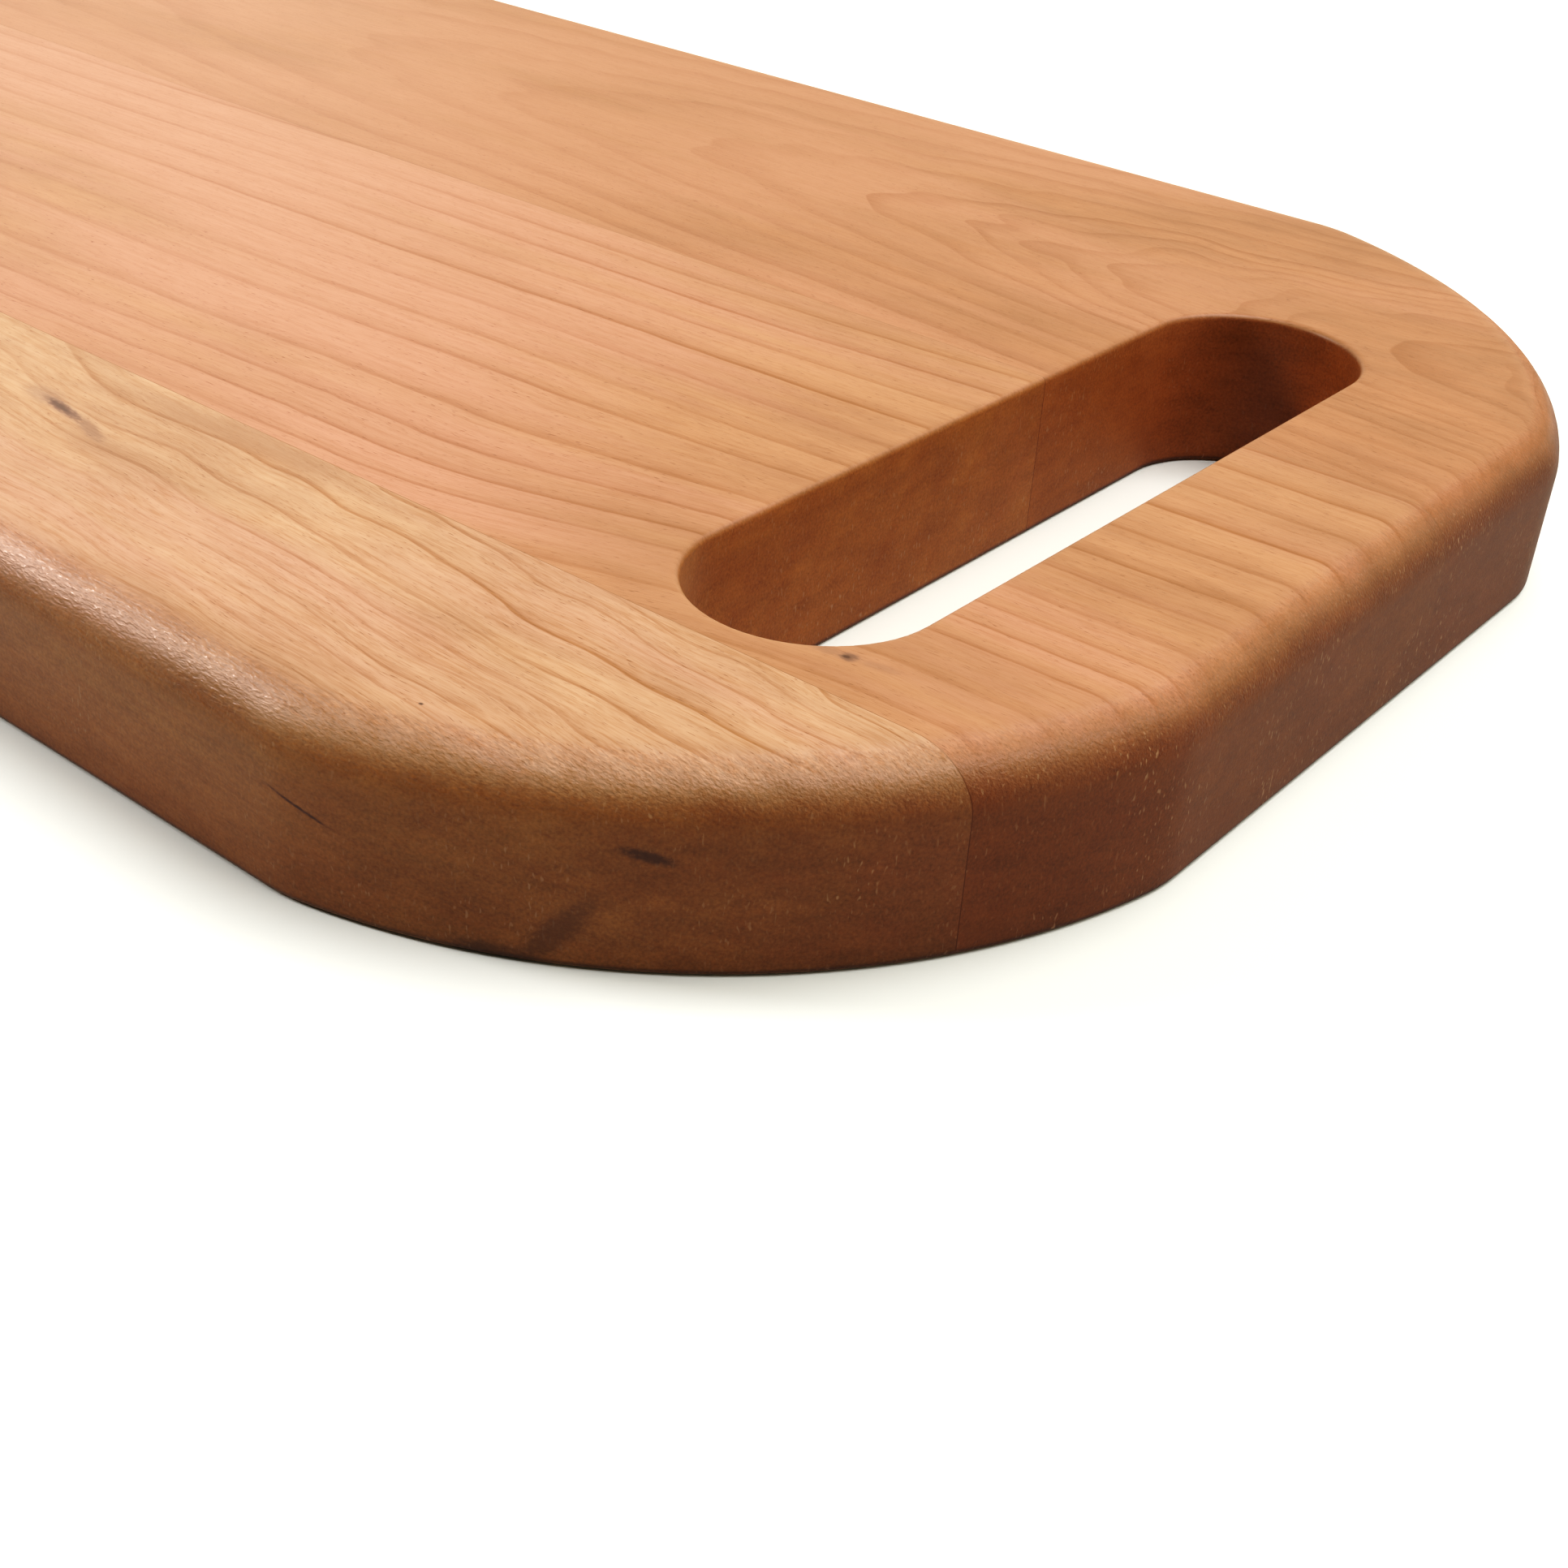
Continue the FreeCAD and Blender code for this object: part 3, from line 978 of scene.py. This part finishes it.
class Cherry:
    """One stave's oiled cherry: its growth rings and fibres, and its worked edges.

    Each is a field from 0 to 1, or noise within about -1 to 1.
    """

    def __init__(self, tree, stave):
        surface = Surface(tree, stave["seed"])
        self.tree = tree
        self.stave = stave
        self.surface = surface

        age, fibre_place = grow_rings(surface, stave)
        self.line = line_darkness(surface, stave, age)
        self.fibre, self.streak, pores, self.band = [
            noise(tree, fibre_place, texture, surface.seed) for texture in (FIBRE, STREAK, PORE, BAND)
        ]
        self.pores = ease(pores, *PORE_RANGE)

        self.nap = surface.noise(NAP)
        self.end_grain = ease(surface.facing_x, *END_GRAIN_RANGE)
        # The edge mask carries both the oil darkening and the painted shade on faces turned from the top.
        self.edge = ease(surface.worked + self.nap * EDGE_NAP, *EDGE_RANGE)
        at_slot = slot_wall(surface)
        # The slot's wall gets painted light, so it reads lighter than the outer edges.
        self.slot_painted_light = self.edge * at_slot
        rounded = ease(surface.facing_z, *ROUNDED_FROM) * (1.0 - ease(surface.facing_z, *ROUNDED_TO))
        self.routed = rounded * (1.0 - at_slot)

    def wood(self):
        """Return the planed wood's colour."""
        tree, stave, surface = self.tree, self.stave, self.surface
        tan = surface.noise(BLOTCH) + surface.noise(MOTTLE) * MOTTLE_IN_TAN + self.band * BAND_IN_TAN
        blush = stave["blush"](surface.x, surface.y) * BLUSH_IN_PINK
        pink = surface.noise(FLUSH) * FLUSH_IN_PINK + self.band * BAND_IN_PINK + blush
        fibres = self.fibre * FIBRE_IN_GRAIN + self.streak * STREAK_IN_GRAIN
        grain = ease(fibres, *GRAIN_RANGE) * stave["fibre_strength"]
        worn = ease(surface.tilt, *LINES_WORN_RANGE) * LINES_WORN
        colour = blend(tree, ease(tan, *TAN_RANGE), stave["pale"], stave["tan"])
        colour = blend(tree, ease(pink, *PINK_RANGE), colour, stave["pink"])
        colour = tint(tree, self.line * (1.0 - worn), colour, LINE_FILTER)
        colour = tint(tree, grain * (1.0 - self.edge * GRAIN_WORN), colour, FIBRE_FILTER)
        return tint(tree, self.pores * (1.0 - self.edge * PORES_WORN), colour, PORE_FILTER)

    def oiled_and_shaded_edges(self, colour):
        """Darken worked edges, most of all end grain, for oil and painted shade; paint a contact shadow on
        the bottom edge and painted light on the slot's wall.
        """
        tree = self.tree
        # A painted contact shadow along the bottom edge.
        contact_shadow = self.edge * (1.0 - ease(self.surface.z, *CONTACT_SHADOW_HEIGHT))
        # Oil and painted shade on every face turned away from the top.
        colour = tint(tree, self.edge, colour, SIDE_OIL_AND_SHADE_FILTER)
        colour = tint(tree, self.routed, colour, ROUTED_FILTER)
        colour = tint(tree, contact_shadow, colour, CONTACT_SHADOW_FILTER)
        colour = tint(tree, self.end_grain * self.edge * (1.0 - self.slot_painted_light), colour, END_GRAIN_FILTER)
        # Painted light on the slot's wall.
        return tint(tree, self.slot_painted_light, colour, SLOT_WALL_PAINTED_LIGHT)

    def speckled_edges(self, colour):
        """Speckle the worked edges, with cut fibre ends that stand out pale."""
        surface, edge, routed = self.surface, self.edge, self.routed
        speck = ease(surface.noise(SPECK), *SPECK_RANGE)
        speckled = ease(surface.noise(SPECKLED), *SPECKLED_RANGE)
        uneven = surface.noise(GRIT) * GRIT_SHADE + surface.noise(CLOUD) * CLOUD_SHADE
        colour = brighten(self.tree, colour, 1.0 + edge * uneven + routed * self.nap * CURVE_NAP_SHADE)
        share = edge * (speckled * CUT_FIBRES_IN_PATCHES + CUT_FIBRES_EVERYWHERE)
        share = share + routed * CUT_FIBRES_ON_CURVE
        return blend(self.tree, speck * share, colour, CUT_FIBRE)

    def marked(self, colour):
        """Add the stave's knots, stains and gum."""
        for mark in self.stave["marks"]:
            colour = blend(self.tree, smear(self.surface, self.nap, mark), colour, mark["colour"])
        return colour

    def roughness(self):
        """Return how dull the surface is."""
        surface, routed = self.surface, self.routed
        matte = ease(surface.facing_x, *ACROSS_GRAIN)
        upper = routed * ease(surface.facing_z, *UPPER_CURVE)
        glint = routed * (1.0 - matte) * ease(self.nap, *GLINT_RANGE)
        dulled = ROUGHNESS + self.end_grain * END_GRAIN_DULLS + upper * matte * UPPER_CURVE_DULLS
        return dulled - self.fibre * FIBRE_SHINES - glint * GLINT_SHINES

    def relief(self):
        """Return the surface's height: raised fibres, open pores and rough edges."""
        roughened = self.nap * (self.edge * NAP_ON_WALLS + self.routed * NAP_ON_CURVE)
        return self.fibre * FIBRE_HEIGHT - self.pores * PORE_DEPTH + roughened


def smear(surface, nap, mark):
    """Return a mark that is drawn out in one direction and fades at its edges."""
    place = (surface.x, surface.y, surface.z)
    offsets = [part - middle for part, middle in zip(place, mark["centre"])]
    forward = Vector(mark["towards"]).normalized()
    along = sum((part * share for part, share in zip(offsets, forward)), 0.0)
    away = sum((part * part for part in offsets), 0.0) - along * along
    fade = calculate("EXPONENT", -(along * along / mark["length"]**2 + away / mark["width"]**2))
    return ease(fade * (nap * MARK_NAP + 1.0), *MARK_RANGE) * mark["strength"]


def make_cherry(name, stave):
    """Make one stave's material."""
    material, tree, shader = new_material(name)
    cherry = Cherry(tree, stave)
    colour = cherry.marked(cherry.speckled_edges(cherry.oiled_and_shaded_edges(cherry.wood())))
    bump = tree.nodes.new("ShaderNodeBump")
    bump.inputs["Strength"].default_value = 1.0
    bump.inputs["Distance"].default_value = MM
    connect(tree, cherry.relief(), bump.inputs["Height"])
    connect(tree, colour, shader.inputs["Base Color"])
    connect(tree, cherry.roughness(), shader.inputs["Roughness"])
    connect(tree, bump.outputs["Normal"], shader.inputs["Normal"])
    shader.inputs["Specular IOR Level"].default_value = SPECULAR_LEVEL
    return material


# --- Glue -----------------------------------------------------------------------------

GLUE_LIGHT = (0.27, 0.135, 0.06, 1)
GLUE_DARK = (0.22, 0.10, 0.04, 1)
GLUE_CLOUD = Texture((18, 4, 4), seed=0, detail=2.0)
GLUE_CLOUD_RANGE = (-1.0, 1.0)
GLUE_SEED = 41.0
GLUE_ROUGHNESS = 0.5
GLUE_SPECULAR_LEVEL = 0.25


def make_glue():
    """Make hardened wood glue, amber and nearly as dark as the ring lines."""
    material, tree, shader = new_material("hardened_glue")
    surface = Surface(tree, GLUE_SEED)
    cloud = ease(surface.noise(GLUE_CLOUD), *GLUE_CLOUD_RANGE)
    edge = ease(surface.worked, *EDGE_RANGE)
    colour = blend(tree, cloud, GLUE_LIGHT, GLUE_DARK)
    # The glue's edges take the same oil darkening and painted shade as the staves'.
    colour = tint(tree, edge, colour, SIDE_OIL_AND_SHADE_FILTER)
    colour = tint(tree, edge, colour, END_GRAIN_FILTER)
    connect(tree, colour, shader.inputs["Base Color"])
    shader.inputs["Roughness"].default_value = GLUE_ROUGHNESS
    shader.inputs["Specular IOR Level"].default_value = GLUE_SPECULAR_LEVEL
    return material


# --- Make everything ------------------------------------------------------------------

board_mesh = make_board_mesh()
for node, stave in zip(STAVES, (NEAR_STAVE, MIDDLE_STAVE, FAR_STAVE)):
    piece = make_piece(board_mesh, node)
    piece.data.materials.append(make_cherry(f"{node}_cherry", stave))
glue = make_glue()
for node in GLUE_LINES:
    piece = make_piece(board_mesh, node)
    piece.data.materials.append(glue)
board_mesh.free()
add_floor()
add_camera()
light_studio()
